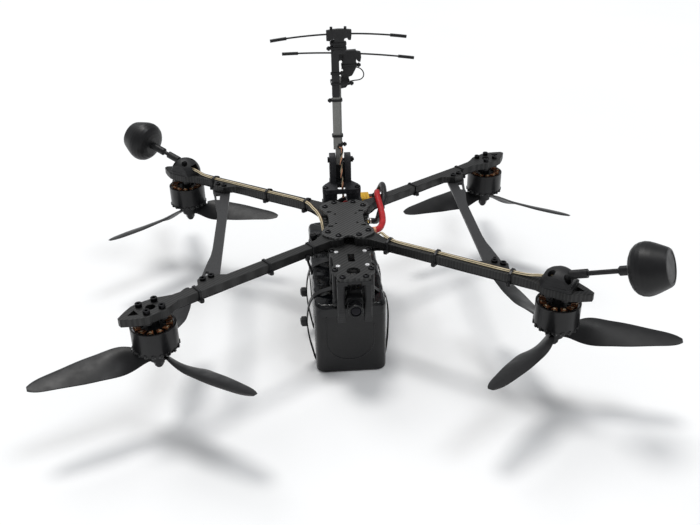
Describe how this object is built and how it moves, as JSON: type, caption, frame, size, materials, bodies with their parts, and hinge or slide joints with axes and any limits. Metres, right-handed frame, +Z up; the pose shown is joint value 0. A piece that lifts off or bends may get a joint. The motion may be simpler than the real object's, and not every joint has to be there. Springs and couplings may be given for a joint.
{
  "type": "quadcopter drone",
  "caption": "Long-range quadcopter with motors hung below splayed arms, a battery slung under the plates, a tilting camera and antennas on a folding mast and on the arm tips.",
  "frame": {"origin": "on the floor, at the battery's lower face, directly below the centre of the four motors", "axes": "+Z up; -Y is the flying direction, the camera's side; +X is to the right when the craft is seen from the camera's side"},
  "size_m": [0.5221, 0.4497, 0.2806],
  "materials": {
    "carbon_plate": "woven laminate, satin",
    "black_steel": "blackened, satin",
    "silver_steel": "plated, bright",
    "black_aluminium": "anodised, gloss",
    "printed_black": "printed in layers, matte",
    "propeller_black": "moulded, satin",
    "tie_nylon": "moulded nylon, satin",
    "sleeve_black": "braided, matte",
    "board_black": "lacquered board",
    "foam_grey": "foam, matte",
    "wrap_black": "heat-shrunk film, gloss",
    "cell_metal": "sleeved cell",
    "connector_yellow": "moulded, satin",
    "silicone_red": "silicone, satin",
    "silicone_black": "silicone, satin",
    "lead_cream": "jacketed coaxial lead",
    "lead_mixed": "thin twisted leads",
    "stator_steel": "lacquered laminations",
    "antenna_black": "moulded, matte",
    "camera_black": "moulded, satin",
    "lens_black": "lens and barrel, gloss",
    "mast_black": "laminate bar, satin"
  },
  "bodies": {
    "airframe": {"top_plate": "carbon_plate", "mid_plate": "carbon_plate", "battery_plate": "carbon_plate", "arm_front_left": "carbon_plate", "arm_front_right": "carbon_plate", "arm_rear_left": "carbon_plate", "arm_rear_right": "carbon_plate", "braces": "carbon_plate", "frame_screws": "black_steel", "brace_screws": "black_steel", "motor_screws": "black_steel", "standoffs": "black_aluminium", "housing_screws": "black_steel", "transmitter_screws": "silver_steel", "speed_controller": "board_black", "flight_controller": "board_black", "stack_spacers": "black_steel", "video_transmitter": "board_black", "receiver": "board_black", "camera_mount": "printed_black", "rear_bracket": "printed_black", "mast_pivot_bolt": "black_steel", "antenna_pods": "printed_black", "mushroom_stems": "antenna_black", "mushroom_caps": "antenna_black", "motor_bases": "black_aluminium", "stators": "stator_steel", "battery_wrap": "wrap_black", "battery_cells": "cell_metal", "battery_pad": "foam_grey", "battery_ties": "tie_nylon", "power_connector": "connector_yellow", "red_lead": "silicone_red", "black_lead": "silicone_black", "motor_wires": "sleeve_black", "antenna_wires": "lead_cream", "arm_ties": "tie_nylon", "mast_leads_lower": "lead_mixed"},
    "camera": {"camera_body": "camera_black", "camera_lens": "lens_black", "camera_screws": "black_steel"},
    "mast": {"mast_lower": "mast_black", "mast_upper": "mast_black", "t_antenna_upper": "antenna_black", "t_antenna_lower": "antenna_black", "antenna_clamps": "printed_black", "mast_ties": "tie_nylon", "mast_leads_upper": "lead_mixed"},
    "rotor_front_left": {"rotor_bell_front_left": "black_aluminium", "propeller_front_left": "propeller_black", "prop_nut_front_left": "black_aluminium"},
    "rotor_front_right": {"rotor_bell_front_right": "black_aluminium", "propeller_front_right": "propeller_black", "prop_nut_front_right": "black_aluminium"},
    "rotor_rear_left": {"rotor_bell_rear_left": "black_aluminium", "propeller_rear_left": "propeller_black", "prop_nut_rear_left": "black_aluminium"},
    "rotor_rear_right": {"rotor_bell_rear_right": "black_aluminium", "propeller_rear_right": "propeller_black", "prop_nut_rear_right": "black_aluminium"}
  },
  "joints": [
    {"name": "camera_tilt", "type": "hinge", "parent": "airframe", "child": "camera", "pos_m": [0, -0.091, 0.0841], "axis": [-1, 0, 0], "range_deg": [-20, 45]},
    {"name": "mast_fold", "type": "hinge", "parent": "airframe", "child": "mast", "pos_m": [0, 0.079, 0.147], "axis": [-1, 0, 0], "range_deg": [0, 90]},
    {"name": "front_left_spin", "type": "hinge", "parent": "airframe", "child": "rotor_front_left", "pos_m": [-0.164, -0.137, 0.09], "axis": [0, 0, 1], "continuous": true},
    {"name": "front_right_spin", "type": "hinge", "parent": "airframe", "child": "rotor_front_right", "pos_m": [0.164, -0.137, 0.09], "axis": [0, 0, 1], "continuous": true},
    {"name": "rear_left_spin", "type": "hinge", "parent": "airframe", "child": "rotor_rear_left", "pos_m": [-0.164, 0.137, 0.09], "axis": [0, 0, 1], "continuous": true},
    {"name": "rear_right_spin", "type": "hinge", "parent": "airframe", "child": "rotor_rear_right", "pos_m": [0.164, 0.137, 0.09], "axis": [0, 0, 1], "continuous": true}
  ]
}
